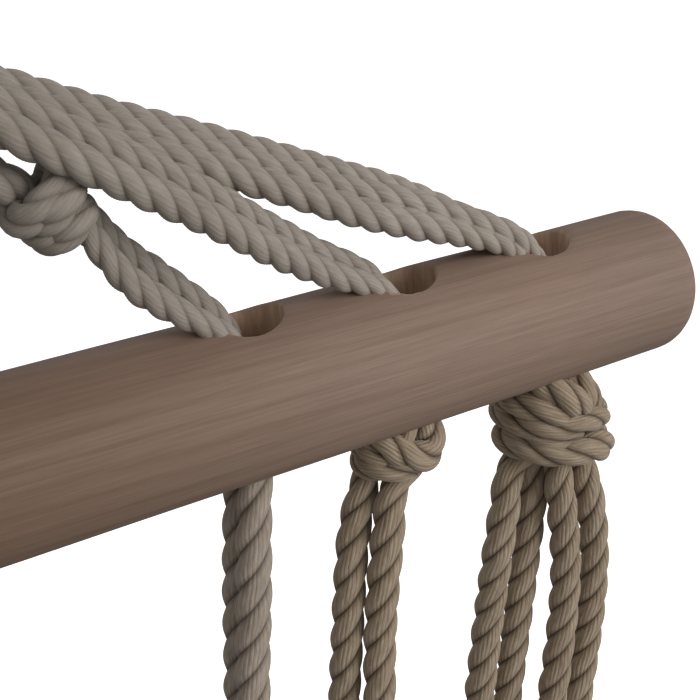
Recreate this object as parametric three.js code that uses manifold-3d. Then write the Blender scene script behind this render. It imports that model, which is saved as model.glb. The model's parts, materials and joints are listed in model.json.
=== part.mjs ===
// A hanging rope hammock seat: a steel ring, a harness of eight ropes a side, a round wooden
// spreader bar with three holes at each end, and a rope net that hangs below the bar.
// Millimetres, +Z up, the bar along X, the sitter's front towards -Y.
// The origin is the inside of the ring's top, where a hook takes the whole seat.

import * as THREE from "three";
import { mergeVertices } from "three/addons/utils/BufferGeometryUtils.js";
import Module from "manifold-3d";

const wasm = await Module();
wasm.setup();

// Driving dimensions.
const GAP = 0.3; // left between solids that touch
const ROPE_D = 7.6; // laid cotton rope, slightly squeezed
const ROPE_PITCH = 8; // rope to rope inside a bundle
const NET_ROPE_D = 6; // the net's front-to-back ropes

const RING_R = 36; // middle of the wire
const RING_WIRE_D = 8;
const RING_BOTTOM_Z = -(2 * RING_R - RING_WIRE_D / 2);

const EYE_WIDTH = 30; // the eight rope bights side by side
const EYE_INNER_R = 9.5;
const EYE_OUTER_R = 25;
const EYE_HALF_FOOT = 17;
const BINDING_TOP_Z = RING_BOTTOM_Z - 26;
const BINDING_R = 22;
const BINDING_LENGTH = 50;
const BINDING_BOTTOM_Z = BINDING_TOP_Z - BINDING_LENGTH;

const BAR_R = 19;
const BAR_HALF = 450;
const BAR_END_ROUND = 7.5;
const BAR_DROP = 262; // from the binding's bottom to the bar's axis
const BAR_Z = BINDING_BOTTOM_Z - BAR_DROP;
const HOLE_R = 8.6;
const HOLE_PITCH = 39;
const OUTER_HOLE_X = 410;

const SEAT_HINGE_DROP = 33; // the lower ropes swing about this line below the bar's axis
const SEAT_HINGE_Z = BAR_Z - SEAT_HINGE_DROP;
const LEG_START = 14.5; // the lower ropes' solids start this far below that line

const ROPE_SIDES = 8;
const TURN_STEPS = 14; // stations along a turn over a hole's edge
const NET_STEPS = 15;

// Helpers.

const material = (color, roughness, metalness = 0) =>
  new THREE.MeshStandardMaterial({ color, roughness, metalness });

const COTTON = () => material(0xcdc3b2, 0.95);
const TWINE = () => material(0xc4b8a4, 0.95);
const WOOD = () => material(0x9c826f, 0.6);
const STEEL = () => material(0xb9bcc0, 0.3, 0.9);

const lerp = (a, b, t) => a + (b - a) * t;

const smooth = (a, b, v) => {
  const t = Math.min(Math.max((v - a) / (b - a), 0), 1);
  return t * t * (3 - 2 * t);
};

// A round section, one side flat on its path's normal.
function circle(radius, sides = ROPE_SIDES) {
  const shape = new THREE.Shape();
  for (let i = 0; i < sides; i++) {
    const a = ((i + 0.5) * 2 * Math.PI) / sides;
    if (i === 0) shape.moveTo(radius * Math.cos(a), radius * Math.sin(a));
    else shape.lineTo(radius * Math.cos(a), radius * Math.sin(a));
  }
  shape.closePath();
  return shape;
}

// A section with flat sides and cut corners, for ropes lying side by side as one solid.
function block(width, height, corner) {
  const w = width / 2;
  const h = height / 2;
  const shape = new THREE.Shape();
  shape.moveTo(w, -h + corner);
  shape.lineTo(w, h - corner);
  shape.lineTo(w - corner, h);
  shape.lineTo(-w + corner, h);
  shape.lineTo(-w, h - corner);
  shape.lineTo(-w, -h + corner);
  shape.lineTo(-w + corner, -h);
  shape.lineTo(w - corner, -h);
  shape.closePath();
  return shape;
}

function sweep(points, shape, steps) {
  const path = new THREE.CatmullRomCurve3(points, false, "centripetal");
  return new THREE.ExtrudeGeometry(shape, { steps, extrudePath: path, bevelEnabled: false });
}

const tube = (points, diameter, steps) => sweep(points, circle(diameter / 2), steps);

// A solid of revolution about the X axis, from points [x, radius].
function turned(profile, segments) {
  const points = profile.map(([x, r]) => new THREE.Vector2(r, x));
  return new THREE.LatheGeometry(points, segments).rotateZ(-Math.PI / 2);
}

// An egg-shaped solid with its long axis along X.
function egg(halfLength, radius, rings = 8, segments = 12) {
  const profile = [];
  for (let i = 0; i <= rings; i++) {
    const a = (Math.PI * i) / rings;
    profile.push([-halfLength * Math.cos(a), i % rings === 0 ? 0 : radius * Math.sin(a)]);
  }
  return turned(profile, segments);
}

function toManifold(geometry) {
  const bare = geometry.clone();
  bare.deleteAttribute("normal");
  bare.deleteAttribute("uv");
  const merged = mergeVertices(bare, 1e-4);
  return new wasm.Manifold(
    new wasm.Mesh({
      numProp: 3,
      vertProperties: new Float32Array(merged.attributes.position.array),
      triVerts: new Uint32Array(merged.index.array),
    }),
  );
}

function toGeometry(solid) {
  const mesh = solid.getMesh();
  const geometry = new THREE.BufferGeometry();
  geometry.setAttribute("position", new THREE.BufferAttribute(mesh.vertProperties, 3));
  geometry.setIndex(new THREE.BufferAttribute(mesh.triVerts, 1));
  geometry.computeVertexNormals();
  return geometry;
}

const hammock = new THREE.Group();

function addPiece(name, geometry, finish) {
  const mesh = new THREE.Mesh(geometry, finish);
  mesh.name = name;
  hammock.add(mesh);
  return mesh;
}

// The ring, in the XZ plane, so that the rope eye turns about its bottom wire.

function hangingRing() {
  const ring = addPiece(
    "hanging_ring",
    new THREE.TorusGeometry(RING_R, RING_WIRE_D / 2, 8, 28),
    STEEL(),
  );
  ring.rotation.x = Math.PI / 2;
  ring.position.z = RING_BOTTOM_Z + RING_R;
}

// The eye: eight rope bights over the ring's wire, bound together below it.

function ropeEye() {
  const foot = BINDING_TOP_Z - RING_BOTTOM_Z + GAP;
  const lean = 0.25;
  const outline = new THREE.Shape();
  outline.moveTo(-EYE_HALF_FOOT, foot);
  outline.lineTo(EYE_HALF_FOOT, foot);
  outline.absarc(0, 0, EYE_OUTER_R, -lean, Math.PI + lean, false);
  outline.closePath();
  const hole = new THREE.Path();
  hole.absarc(0, 0, EYE_INNER_R, 0, 2 * Math.PI, true);
  outline.holes.push(hole);
  const band = new THREE.ExtrudeGeometry(outline, {
    depth: EYE_WIDTH,
    bevelEnabled: false,
    curveSegments: 9,
  });
  band.translate(0, 0, -EYE_WIDTH / 2);
  band.rotateX(Math.PI / 2);
  band.rotateZ(Math.PI / 2);
  band.translate(0, 0, RING_BOTTOM_Z);
  addPiece("rope_eye", band, COTTON());
}

function eyeBinding() {
  const edge = 3;
  const profile = [
    [BINDING_BOTTOM_Z, 0],
    [BINDING_BOTTOM_Z, BINDING_R - edge],
    [BINDING_BOTTOM_Z + edge, BINDING_R],
    [BINDING_TOP_Z - edge, BINDING_R],
    [BINDING_TOP_Z, BINDING_R - edge],
    [BINDING_TOP_Z, 0],
  ];
  const points = profile.map(([z, r]) => new THREE.Vector2(r, z));
  addPiece("eye_binding", new THREE.LatheGeometry(points, 20).rotateX(Math.PI / 2), TWINE());
}

// The bar, turned and cross-drilled: three holes at each end.

const HOLE_NAMES = ["outer", "middle", "inner"];
const holeX = (index) => OUTER_HOLE_X - index * HOLE_PITCH;

function barBody(radius, halfLength, segments) {
  const profile = [[-halfLength, 0]];
  const arcSteps = 3;
  for (let i = 0; i <= arcSteps; i++) {
    const a = (Math.PI / 2) * (i / arcSteps);
    profile.push([
      -halfLength + BAR_END_ROUND * (1 - Math.sin(a)),
      radius - BAR_END_ROUND * (1 - Math.cos(a)),
    ]);
  }
  const start = profile.slice(0, 1).concat(profile.slice(1).reverse());
  const end = start.map(([x, r]) => [-x, r]).reverse();
  return turned(start.concat(end), segments);
}

function barHole(x, radius) {
  const hole = new THREE.CylinderGeometry(radius, radius, 4 * BAR_R, 16);
  return toManifold(hole.rotateX(Math.PI / 2).translate(x, 0, BAR_Z));
}

// The bar grown or shrunk by a margin: what its own solid and its neighbours are cut by.
function barSolid(margin) {
  const body = barBody(BAR_R + margin, BAR_HALF + margin, 24);
  let solid = toManifold(body.translate(0, 0, BAR_Z));
  for (const side of [-1, 1]) {
    for (let i = 0; i < HOLE_NAMES.length; i++) {
      solid = solid.subtract(barHole(side * holeX(i), HOLE_R - margin));
    }
  }
  return solid;
}

// The harness. Each point of a route is [distance inward from the outer hole, height above
// the bar's axis, offset along Y], for the middle of one hole's ropes on the right-hand side.

const ROUTES = {
  outer: [
    [20, 26.8, 0.5],
    [50, 40.3, 3],
    [76, 52.2, 6],
    [102, 64.6, 8],
    [150, 90, 8],
    [230, 137, 8],
    [310, 189.5, 8],
    [394, 249.5, 8],
  ],
  middle: [
    [59, 26.8, -1],
    [76, 38.4, -5],
    [102, 56.5, -8.8],
    [150, 91, -8],
    [230, 142, -8],
    [310, 194.5, -8],
    [390, 251.5, -8],
  ],
  inner: [
    [129, 61, -7.2],
    [150, 78, -8],
    [230, 132, -8],
    [310, 184.5, -8],
    [397, 246.5, -8],
  ],
};

const BUNDLE_STEPS = { outer: 11, middle: 10, inner: 9 };

// Where each rope lies in its hole's bundle, in pitches along Y and along the bundle's normal.
const OFFSETS = {
  outer: [
    [-0.5, 0.5],
    [0.5, 0.5],
    [-0.5, -0.5],
    [0.5, -0.5],
  ],
  middle: [
    [-0.5, 0],
    [0.5, 0],
  ],
  inner: [
    [-0.5, 0],
    [0.5, 0],
  ],
};

function harnessPoint([inward, height, y]) {
  return new THREE.Vector3(OUTER_HOLE_X - inward, y, BAR_Z + height);
}

// A rope's own route: its bundle's, moved across by its offset. It ends just below the binding.
function harnessRope(hole, [across, up]) {
  const middle = ROUTES[hole].map(harnessPoint);
  return middle.map((point, i) => {
    const before = middle[Math.max(i - 1, 0)];
    const after = middle[Math.min(i + 1, middle.length - 1)];
    const along = after.clone().sub(before).normalize();
    const normal = new THREE.Vector3(along.z, 0, -along.x).normalize();
    return point
      .clone()
      .add(new THREE.Vector3(0, across * ROPE_PITCH, 0))
      .addScaledVector(normal, up * ROPE_PITCH);
  });
}

const mirrored = (points) => points.map((p) => new THREE.Vector3(-p.x, p.y, p.z));

const SIDES = { right: (points) => points, left: mirrored };

function harness(side) {
  let number = 1;
  for (const hole of HOLE_NAMES) {
    for (const offset of OFFSETS[hole]) {
      const route = SIDES[side](harnessRope(hole, offset));
      const name = `harness_rope_${side}_${number}`;
      addPiece(name, tube(route, ROPE_D, BUNDLE_STEPS[hole]), COTTON());
      number += 1;
    }
  }
}

// Where the ropes pass the bar: each hole's ropes as one solid, from their turn over the
// hole's edge down through the bar to the stopper knot below it.

const TURNS = {
  outer: { top: [[0, 8], [1.5, 16], [8, 22], [18.5, 26.4]], width: 15.6, height: 15.6 },
  middle: { top: [[39, 8], [40.5, 15], [47, 20], [57.5, 26]], width: 15.6, height: 7.6 },
  inner: { top: [[78, 8], [79.5, 14], [86, 20.5], [97, 30.5]], width: 15.6, height: 7.6 },
};
const TURN_CORNER = 2.2;
const IN_THE_HOLE = -10; // heights above the bar's axis
const IN_THE_KNOT = -26;
const BELOW_THE_HOLE = -40;

// The knots are round. The outer one lies about the line that the seat swings on.
const KNOTS = {
  outer: { inward: -2.8, drop: SEAT_HINGE_DROP, halfLength: 15.4, radius: 13.7 },
  middle: { inward: 43.5, drop: 28.5, halfLength: 11.4, radius: 9.8 },
};
const UPPER_KNOT = { inward: 115.5, height: 48.2, y: -5, slope: 0.72, halfLength: 12.5, radius: 11 };

function barRopes(side, hole, bar) {
  const { top, width, height } = TURNS[hole];
  const knot = KNOTS[hole];
  const holeInward = OUTER_HOLE_X - holeX(HOLE_NAMES.indexOf(hole));
  const bottom = knot ? IN_THE_KNOT : BELOW_THE_HOLE;
  const route = [[holeInward, bottom], [holeInward, IN_THE_HOLE], ...top].map(([inward, up]) =>
    harnessPoint([inward, up, 0]),
  );
  const turn = sweep(SIDES[side](route), block(height, width, TURN_CORNER), TURN_STEPS);
  let solid = toManifold(turn);
  if (knot) {
    const centre = SIDES[side]([harnessPoint([knot.inward, -knot.drop, 0])])[0];
    const body = egg(knot.halfLength, knot.radius).translate(centre.x, centre.y, centre.z);
    solid = solid.add(toManifold(body));
  }
  solid = solid.subtract(bar);
  const name = knot ? `stopper_knot_${side}_${hole}` : `bar_ropes_${side}_${hole}`;
  addPiece(name, toGeometry(solid), COTTON());
}

// The overhand knot in the inner hole's pair, a little above the bar.
function upperKnot(side) {
  const { inward, height, y, slope, halfLength, radius } = UPPER_KNOT;
  const centre = SIDES[side]([harnessPoint([inward, height, y])])[0];
  const body = egg(halfLength, radius);
  body.rotateY(side === "right" ? slope : -slope);
  addPiece(`harness_knot_${side}`, body.translate(centre.x, centre.y, centre.z), COTTON());
}

// The seat. Every sling rope is one U from the right-hand knots to the left-hand ones, drawn
// flat as [distance from the middle, length below the hinge line] and then bent fore or aft.

// "start" is the rope's place where it leaves the knot or the hole, and "shift" where it hangs
// free, both along X from the hole.

const SLINGS = [
  { hole: "inner", start: -9.2, shift: -8.3, y: -4.3, fan: -25, depth: 0.97 },
  { hole: "middle", start: -8, shift: -10.5, y: -3, fan: -18, depth: 1 },
  { hole: "outer", start: 12, shift: 18, y: -3, fan: -11, depth: 1.02 },
  { hole: "outer", start: 4, shift: 7.4, y: -3.4, fan: -4.5, depth: 1.03 },
  { hole: "outer", start: -1, shift: -4, y: 3.4, fan: 3.5, depth: 1.03 },
  { hole: "outer", start: -9, shift: -14.5, y: 3, fan: 10, depth: 1.01 },
  { hole: "middle", start: -16, shift: -18.5, y: 3, fan: 18, depth: 0.98 },
  { hole: "inner", start: -9.2, shift: -8.3, y: 4.3, fan: 26.5, depth: 0.94 },
];

const STRAIGHT_DROP = 50; // the ropes hang straight for this far before they fan out
const FAN_ARC = 130; // and turn to their fan angle over this length
const SIDE_X = { outer: 345, middle: 318, inner: 285 }; // half of the seat's width at its sides
const SIDE_DROP = 380;
const SEAT_HALF = [
  [0.93, 450],
  [0.77, 522],
  [0.53, 573],
  [0.27, 600],
  [0, 608],
]; // the seat's curve, as [share of its half width, length below the hinge line]
const LEG_SHARES = [0.3, 0.65, 1];
const LEAN = { outer: 2, middle: 6, inner: 6 }; // how far a rope leans inward while it hangs straight
const SLING_STEPS = 31;

function slingFlat({ hole, start, shift, depth }) {
  const middle = holeX(HOLE_NAMES.indexOf(hole));
  const side = SIDE_X[hole];
  const top = middle + shift - LEAN[hole];
  const half = [
    [middle + start, LEG_START],
    [top, STRAIGHT_DROP],
    ...LEG_SHARES.map((t) => [lerp(top, side, t), lerp(STRAIGHT_DROP, SIDE_DROP, t)]),
    ...SEAT_HALF.map(([share, drop]) => [share * side, drop]),
  ];
  const right = half.map(([x, s]) => [x, s > STRAIGHT_DROP ? s * depth : s]);
  const left = right.slice(0, -1).reverse().map(([x, s]) => [-x, s]);
  return right.concat(left);
}

// The fore-and-aft bend: straight down, then an arc, then straight at the fan angle.
function bend(x, drop, { fan, y }) {
  const angle = THREE.MathUtils.degToRad(fan);
  const radius = FAN_ARC / Math.abs(angle);
  const turned = Math.min(Math.max((drop - STRAIGHT_DROP) / FAN_ARC, 0), 1) * Math.abs(angle);
  const beyond = Math.max(drop - STRAIGHT_DROP - FAN_ARC, 0);
  const out = radius * (1 - Math.cos(turned)) + beyond * Math.sin(Math.abs(angle));
  const down = Math.min(drop, STRAIGHT_DROP) + radius * Math.sin(turned) + beyond * Math.cos(angle);
  const inset = y * (1 - smooth(STRAIGHT_DROP, SIDE_DROP, drop));
  return new THREE.Vector3(x, inset + Math.sign(fan) * out, SEAT_HINGE_Z - down);
}

const slingCurve = (sling) =>
  new THREE.CatmullRomCurve3(
    slingFlat(sling).map(([x, drop]) => bend(x, drop, sling)),
    false,
    "centripetal",
  );

function slings() {
  SLINGS.forEach((sling, i) => {
    const geometry = new THREE.ExtrudeGeometry(circle(ROPE_D / 2), {
      steps: SLING_STEPS,
      extrudePath: slingCurve(sling),
      bevelEnabled: false,
    });
    addPiece(`sling_rope_${i + 1}`, geometry, COTTON());
  });
}

// The net's cross ropes lie under the slings, from the front edge to the back.

const CROSS_ROPES = 13;
const CROSS_PITCH = 58;
const CROSS_TAIL = 12;
const NET_SLACK = 1.1; // keeps the facets of both ropes apart at each crossing
const SEAT_MIDDLE = new THREE.Vector3(0, 0, SEAT_HINGE_Z - 300); // the net lies outside the slings

function crossRopes() {
  const curves = SLINGS.map(slingCurve);
  const lengths = curves.map((curve) => curve.getLength());
  const offset = (ROPE_D + NET_ROPE_D) / 2 + NET_SLACK;
  for (let j = 0; j < CROSS_ROPES; j++) {
    const along = (j - (CROSS_ROPES - 1) / 2) * CROSS_PITCH;
    const at = curves.map((curve, k) => 0.5 - along / lengths[k]);
    const on = curves.map((curve, k) => curve.getPointAt(at[k]));
    const points = on.map((point, k) => {
      const across = on[Math.min(k + 1, on.length - 1)].clone().sub(on[Math.max(k - 1, 0)]);
      const out = curves[k].getTangentAt(at[k]).cross(across).normalize();
      const outward = Math.sign(out.dot(point.clone().sub(SEAT_MIDDLE)));
      return point.clone().addScaledVector(out, outward * offset);
    });
    const first = points[0].clone().sub(points[1]).setLength(CROSS_TAIL).add(points[0]);
    const last = points.at(-1).clone().sub(points.at(-2)).setLength(CROSS_TAIL).add(points.at(-1));
    addPiece(`net_rope_${j + 1}`, tube([first, ...points, last], NET_ROPE_D, NET_STEPS), COTTON());
  }
}

// Assembly.

hangingRing();
ropeEye();
eyeBinding();
addPiece("spreader_bar", toGeometry(barSolid(0)), WOOD());
const grownBar = barSolid(GAP);
for (const side of Object.keys(SIDES)) {
  harness(side);
  upperKnot(side);
  for (const hole of HOLE_NAMES) barRopes(side, hole, grownBar);
}
slings();
crossRopes();

export default hammock;
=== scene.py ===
"""The looks of a hanging rope hammock seat: laid cotton ropes, their knots, a drilled wooden bar,
a steel ring, a twine binding and a knotted rope net. Lengths are in millimetres until a mesh is made."""

import json
import math

import bmesh
import bpy
import numpy as np
from mathutils import Matrix, Vector

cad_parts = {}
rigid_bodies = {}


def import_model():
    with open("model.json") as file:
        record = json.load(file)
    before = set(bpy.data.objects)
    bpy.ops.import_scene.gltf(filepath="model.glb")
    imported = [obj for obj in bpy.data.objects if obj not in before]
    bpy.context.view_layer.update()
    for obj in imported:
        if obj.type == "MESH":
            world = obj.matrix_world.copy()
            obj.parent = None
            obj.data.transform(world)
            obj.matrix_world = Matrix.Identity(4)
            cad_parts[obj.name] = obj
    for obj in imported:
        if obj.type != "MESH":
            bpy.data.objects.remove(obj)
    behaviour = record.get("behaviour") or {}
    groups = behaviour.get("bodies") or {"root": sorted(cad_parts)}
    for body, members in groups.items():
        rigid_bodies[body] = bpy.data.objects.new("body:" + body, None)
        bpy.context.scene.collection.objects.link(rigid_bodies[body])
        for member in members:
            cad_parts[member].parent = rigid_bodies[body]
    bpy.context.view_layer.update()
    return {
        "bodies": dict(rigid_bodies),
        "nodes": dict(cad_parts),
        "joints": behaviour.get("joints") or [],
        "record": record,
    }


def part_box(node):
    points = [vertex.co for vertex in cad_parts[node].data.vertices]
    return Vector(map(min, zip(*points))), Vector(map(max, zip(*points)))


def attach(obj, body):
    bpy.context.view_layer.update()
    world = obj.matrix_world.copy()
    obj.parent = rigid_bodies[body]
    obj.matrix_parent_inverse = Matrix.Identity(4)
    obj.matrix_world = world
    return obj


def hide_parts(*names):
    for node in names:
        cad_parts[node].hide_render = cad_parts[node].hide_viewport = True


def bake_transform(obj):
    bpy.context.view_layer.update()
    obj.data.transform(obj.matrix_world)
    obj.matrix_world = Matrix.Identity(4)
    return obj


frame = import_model()

MM = 0.001

# -------- places, from the frame

bar_low, bar_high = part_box("spreader_bar")
BAR_R = (bar_high.z - bar_low.z) / 2 / MM
BAR_HALF = bar_high.x / MM
BAR_Z = (bar_high.z + bar_low.z) / 2 / MM
binding_low, binding_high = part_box("eye_binding")
BINDING_TOP = binding_high.z / MM
BINDING_BOTTOM = binding_low.z / MM
BINDING_R = binding_high.x / MM
ring_low, ring_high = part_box("hanging_ring")
RING_WIRE_R = ring_high.y / MM
RING_R = ring_high.x / MM - RING_WIRE_R
RING_BOTTOM = ring_low.z / MM + RING_WIRE_R

# -------- driving dimensions

# Each rope's diameter, and the length in which its three strands turn once.
ROPE_D, SLING_LAY = 8.8, 27.5
HARNESS_D, HARNESS_LAY = 7.3, 17.4
EYE_ROPE_D = 7.4
NET_ROPE_D, NET_LAY = 6.0, 16.5
TWINE_D, TWINE_LAY = 2.9, 7.5
HOLE_R = 8.6
HOLE_PITCH = 39.0
OUTER_HOLE_X = 410.0
HINGE_DROP = 33
SEAT_HINGE = BAR_Z - HINGE_DROP

# The distance between a rope's rings, and how many points each has, where it is near and elsewhere.
FINE_STEP, FINE_AROUND = 0.55, 96
COARSE_STEP, COARSE_AROUND = 1.5, 24
NEAR_X = 245
NEAR_HEIGHTS = (-135, 125)  # from the bar's axis
UV_NAME = "lay"

# -------- camera

SENSOR_WIDTH = 36
LENS = 51.43
CLIP_START = 0.01
CAMERA_PLACE = (0.26316, -0.19456, -0.31635)
CAMERA_RIGHT = Vector((0.8797, -0.4652, -0.0983))
CAMERA_UP = Vector((0.2546, 0.2862, 0.9237))
CAMERA_BACK = Vector((-0.4016, -0.8377, 0.3702))


def placed(name, data):
    """A new object of the scene that shows some data."""
    made = bpy.data.objects.new(name, data)
    bpy.context.scene.collection.objects.link(made)
    return made


camera_data = bpy.data.cameras.new("camera")
camera_data.sensor_width = SENSOR_WIDTH
camera_data.lens = LENS
camera_data.clip_start = CLIP_START
camera = placed("camera", camera_data)
turn = Matrix((CAMERA_RIGHT, CAMERA_UP, CAMERA_BACK)).transposed()
camera.matrix_world = Matrix.Translation(CAMERA_PLACE) @ turn.to_4x4()
bpy.context.scene.camera = camera

# -------- curves


def catmull(points, per_span=24):
    """A centripetal Catmull-Rom curve through the points, as many short steps."""
    p = np.asarray(points, float)
    p = np.vstack([2 * p[0] - p[1], p, 2 * p[-1] - p[-2]])
    out = []
    for i in range(1, len(p) - 2):
        a, b, c, d = p[i - 1], p[i], p[i + 1], p[i + 2]
        t0 = 0.0
        t1 = t0 + np.linalg.norm(b - a) ** 0.5
        t2 = t1 + np.linalg.norm(c - b) ** 0.5
        t3 = t2 + np.linalg.norm(d - c) ** 0.5
        t = np.linspace(t1, t2, per_span, endpoint=False)[:, None]

        def between(p, q, low, high):
            return p * (high - t) / (high - low) + q * (t - low) / (high - low)

        ab, bc, cd = between(a, b, t0, t1), between(b, c, t1, t2), between(c, d, t2, t3)
        abc, bcd = between(ab, bc, t0, t2), between(bc, cd, t1, t3)
        out.append(between(abc, bcd, t1, t2))
    return np.vstack([*out, p[-2]])


def lengths_along(points):
    return np.concatenate([[0], np.cumsum(np.linalg.norm(np.diff(points, axis=0), axis=1))])


def at_lengths(points, wanted):
    s = lengths_along(points)
    return np.stack([np.interp(wanted, s, points[:, k]) for k in range(3)], axis=1)


def evened(points, step):
    """The same line with points about a step apart."""
    total = lengths_along(points)[-1]
    return at_lengths(points, np.linspace(0, total, max(int(total / step), 4)))


def smoothed(points, rounds):
    p = points.copy()
    for _ in range(rounds):
        p[1:-1] += 0.25 * (p[:-2] - 2 * p[1:-1] + p[2:])
    return p


def carried_frames(points):
    """Two directions across a line at each point, which turn as little as the line lets them."""
    tangent = np.gradient(points, axis=0)
    tangent /= np.linalg.norm(tangent, axis=1)[:, None]
    normal = np.zeros_like(points)
    start = np.cross(tangent[0], (0, 1, 0.01))
    normal[0] = start / np.linalg.norm(start)
    for i in range(1, len(points)):
        n = normal[i - 1] - tangent[i] * (normal[i - 1] @ tangent[i])
        normal[i] = n / np.linalg.norm(n)
    return normal, np.cross(tangent, normal)


# -------- meshes


def mesh_object(name, vertices, faces, uv=None):
    mesh = bpy.data.meshes.new(name)
    mesh.from_pydata((np.asarray(vertices) * MM).tolist(), [], faces)
    if uv is not None:
        layer = mesh.uv_layers.new(name=UV_NAME)
        layer.data.foreach_set("uv", np.asarray(uv, np.float32).ravel())
    mesh.polygons.foreach_set("use_smooth", [True] * len(mesh.polygons))
    mesh.update()
    return placed(name, mesh)


# -------- laid rope

STRANDS = 3
STRAND_SHARE = 0.33  # a strand's radius, as a share of the rope's diameter
HELIX_SHARE = 0.17  # the distance from the rope's middle to a strand's, as such a share
HALF_ARC = math.pi / STRANDS + math.asin(HELIX_SHARE * math.sin(math.pi / STRANDS) / STRAND_SHARE)
YARNS = 8
YARN_TURNS = 1.35  # the yarns turn back in a strand so far that they lie along the rope
RIDGE = 0.1  # how high a yarn stands
RIDGE_SINK = 0.06
RIDGE_FADE = 6  # how steeply the yarns' ridges end at a groove
UV_LENGTH = 100.0  # millimetres of rope to one unit of its texture's length
WALK = 0.5  # a line is walked in steps of this length
CHANCE_PITCH = 20.0  # a rope's twist and width change a little by chance at this distance
CHANCE_TWIST = 0.12
CHANCE_WIDTH = 0.012


def rope_section(around):
    """The outline of three strands laid together, for a rope of diameter 1: its points, the
    direction that each of them faces, and its place across its strand from 0 to 1."""
    per = around // STRANDS
    psi = np.linspace(-HALF_ARC, HALF_ARC, per, endpoint=False)
    x = HELIX_SHARE + STRAND_SHARE * np.cos(psi)
    y = STRAND_SHARE * np.sin(psi)
    turn_by = np.repeat(np.arange(STRANDS), per) * 2 * math.pi / STRANDS
    c, d = np.cos(turn_by), np.sin(turn_by)
    x, y, psi = np.tile(x, STRANDS), np.tile(y, STRANDS), np.tile(psi, STRANDS)
    outline = np.stack([x * c - y * d, x * d + y * c], 1)
    outward = np.stack([np.cos(psi + turn_by), np.sin(psi + turn_by)], 1)
    return outline, outward, (psi + HALF_ARC) / (2 * HALF_ARC)


def is_near(points):
    """Where the ropes are made finest: the bar's right-hand end and what hangs there."""
    height = points[:, 2] - BAR_Z
    return (points[:, 0] > NEAR_X) & (height > NEAR_HEIGHTS[0]) & (height < NEAR_HEIGHTS[1])


def ring_places(near):
    """Which of a walked line's steps get a ring, and whether each of the rings is a fine one."""
    places, fine = [], []
    i = 0
    while i < len(near) - 1:
        here = bool(near[int(i)])
        places.append(i)
        fine.append(here)
        i += (FINE_STEP if here else COARSE_STEP) / WALK
    return [*places, len(near) - 1], [*fine, fine[-1]]


def yarn_ridges(across, along):
    """How far the yarns stand out of a strand, at places across it."""
    ridge = RIDGE * np.abs(np.sin(math.pi * YARNS * (across + along / (2 * HALF_ARC)))) - RIDGE_SINK
    return ridge * np.minimum(1, RIDGE_FADE * np.minimum(across, 1 - across))


def joined(rings, along):
    """The faces between a rope's rings and over its ends, and their texture coordinates."""
    faces, uvs = [], []
    starts = np.concatenate([[0], np.cumsum([len(ring) for ring in rings])]).tolist()
    for k in range(len(rings) - 1):
        a, b = starts[k], starts[k + 1]
        va, vb = along[k], along[k + 1]
        na, nb = len(rings[k]), len(rings[k + 1])
        many = min(na, nb)
        ratio = max(na, nb) // many
        per = many // STRANDS
        for q in range(many):
            after = (q + 1) % many
            u0 = (q % per) / per
            u1 = u0 + 1 / per
            steps = [(q * ratio + r) % (many * ratio) for r in range(ratio + 1)]
            marks = [u0 + (u1 - u0) * r / ratio for r in range(ratio + 1)]
            if na > nb:
                faces.append([a + t for t in steps] + [b + after, b + q])
                uvs += [(m, va) for m in marks] + [(u1, vb), (u0, vb)]
            else:
                faces.append([a + q, a + after] + [b + t for t in reversed(steps)])
                uvs += [(u0, va), (u1, va)] + [(m, vb) for m in reversed(marks)]
    faces.append(list(range(starts[1] - 1, -1, -1)))
    faces.append(list(range(starts[-2], starts[-1])))
    uvs += [(0.5, 0.0)] * len(rings[0]) + [(0.5, along[-1])] * len(rings[-1])
    return faces, uvs


def rope(name, line, diameter, lay, phase=0.0, fine=None, slim=None, seed=0):
    """A laid rope along a line of points, closed at both ends, finer where it is near."""
    dense = evened(line, WALK)
    near = is_near(dense) if fine is None else np.full(len(dense), fine)
    places, ring_fine = ring_places(near)
    index = np.arange(len(dense))
    s = np.interp(places, index, lengths_along(dense))
    centre = np.stack([np.interp(places, index, dense[:, k]) for k in range(3)], 1)
    normal, side = carried_frames(centre)
    rng = np.random.default_rng(seed)
    marks = np.arange(0, s[-1] + 2 * CHANCE_PITCH, CHANCE_PITCH)
    wander = np.interp(s, marks, rng.normal(0, CHANCE_TWIST, len(marks)))
    swell = 1 + np.interp(s, marks, rng.normal(0, CHANCE_WIDTH, len(marks)))
    twist = phase + 2 * math.pi * s / lay + wander
    width = diameter * swell * (1.0 if slim is None else np.interp(s, *slim))
    sections = {True: rope_section(FINE_AROUND), False: rope_section(COARSE_AROUND)}
    rings = []
    for k, here in enumerate(ring_fine):
        outline, outward, across = sections[here]
        flat = outline * width[k]
        if here:
            flat = flat + outward * yarn_ridges(across, YARN_TURNS * 2 * math.pi * s[k] / lay)[:, None]
        c, d = math.cos(twist[k]), math.sin(twist[k])
        x, y = flat[:, 0] * c - flat[:, 1] * d, flat[:, 0] * d + flat[:, 1] * c
        rings.append(centre[k] + x[:, None] * normal[k] + y[:, None] * side[k])
    faces, uvs = joined(rings, s / UV_LENGTH)
    return mesh_object(name, np.vstack(rings), faces, uvs)


# -------- knots

KNOT_ROPE = 0.8  # how much of its width a rope keeps where a knot squeezes it
FRONT = Vector((-0.43, -0.9, 0)).normalized()  # the side of a knot that angles are counted from


def knot_frame(centre, axis):
    """A knot's own axes: its right, its front and its length, as rows, and its middle."""
    length = np.array(Vector(axis).normalized())
    front = np.array(FRONT) - length * (np.array(FRONT) @ length)
    front /= np.linalg.norm(front)
    return np.array(centre, float), np.stack([np.cross(length, front), front, length])


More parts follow.
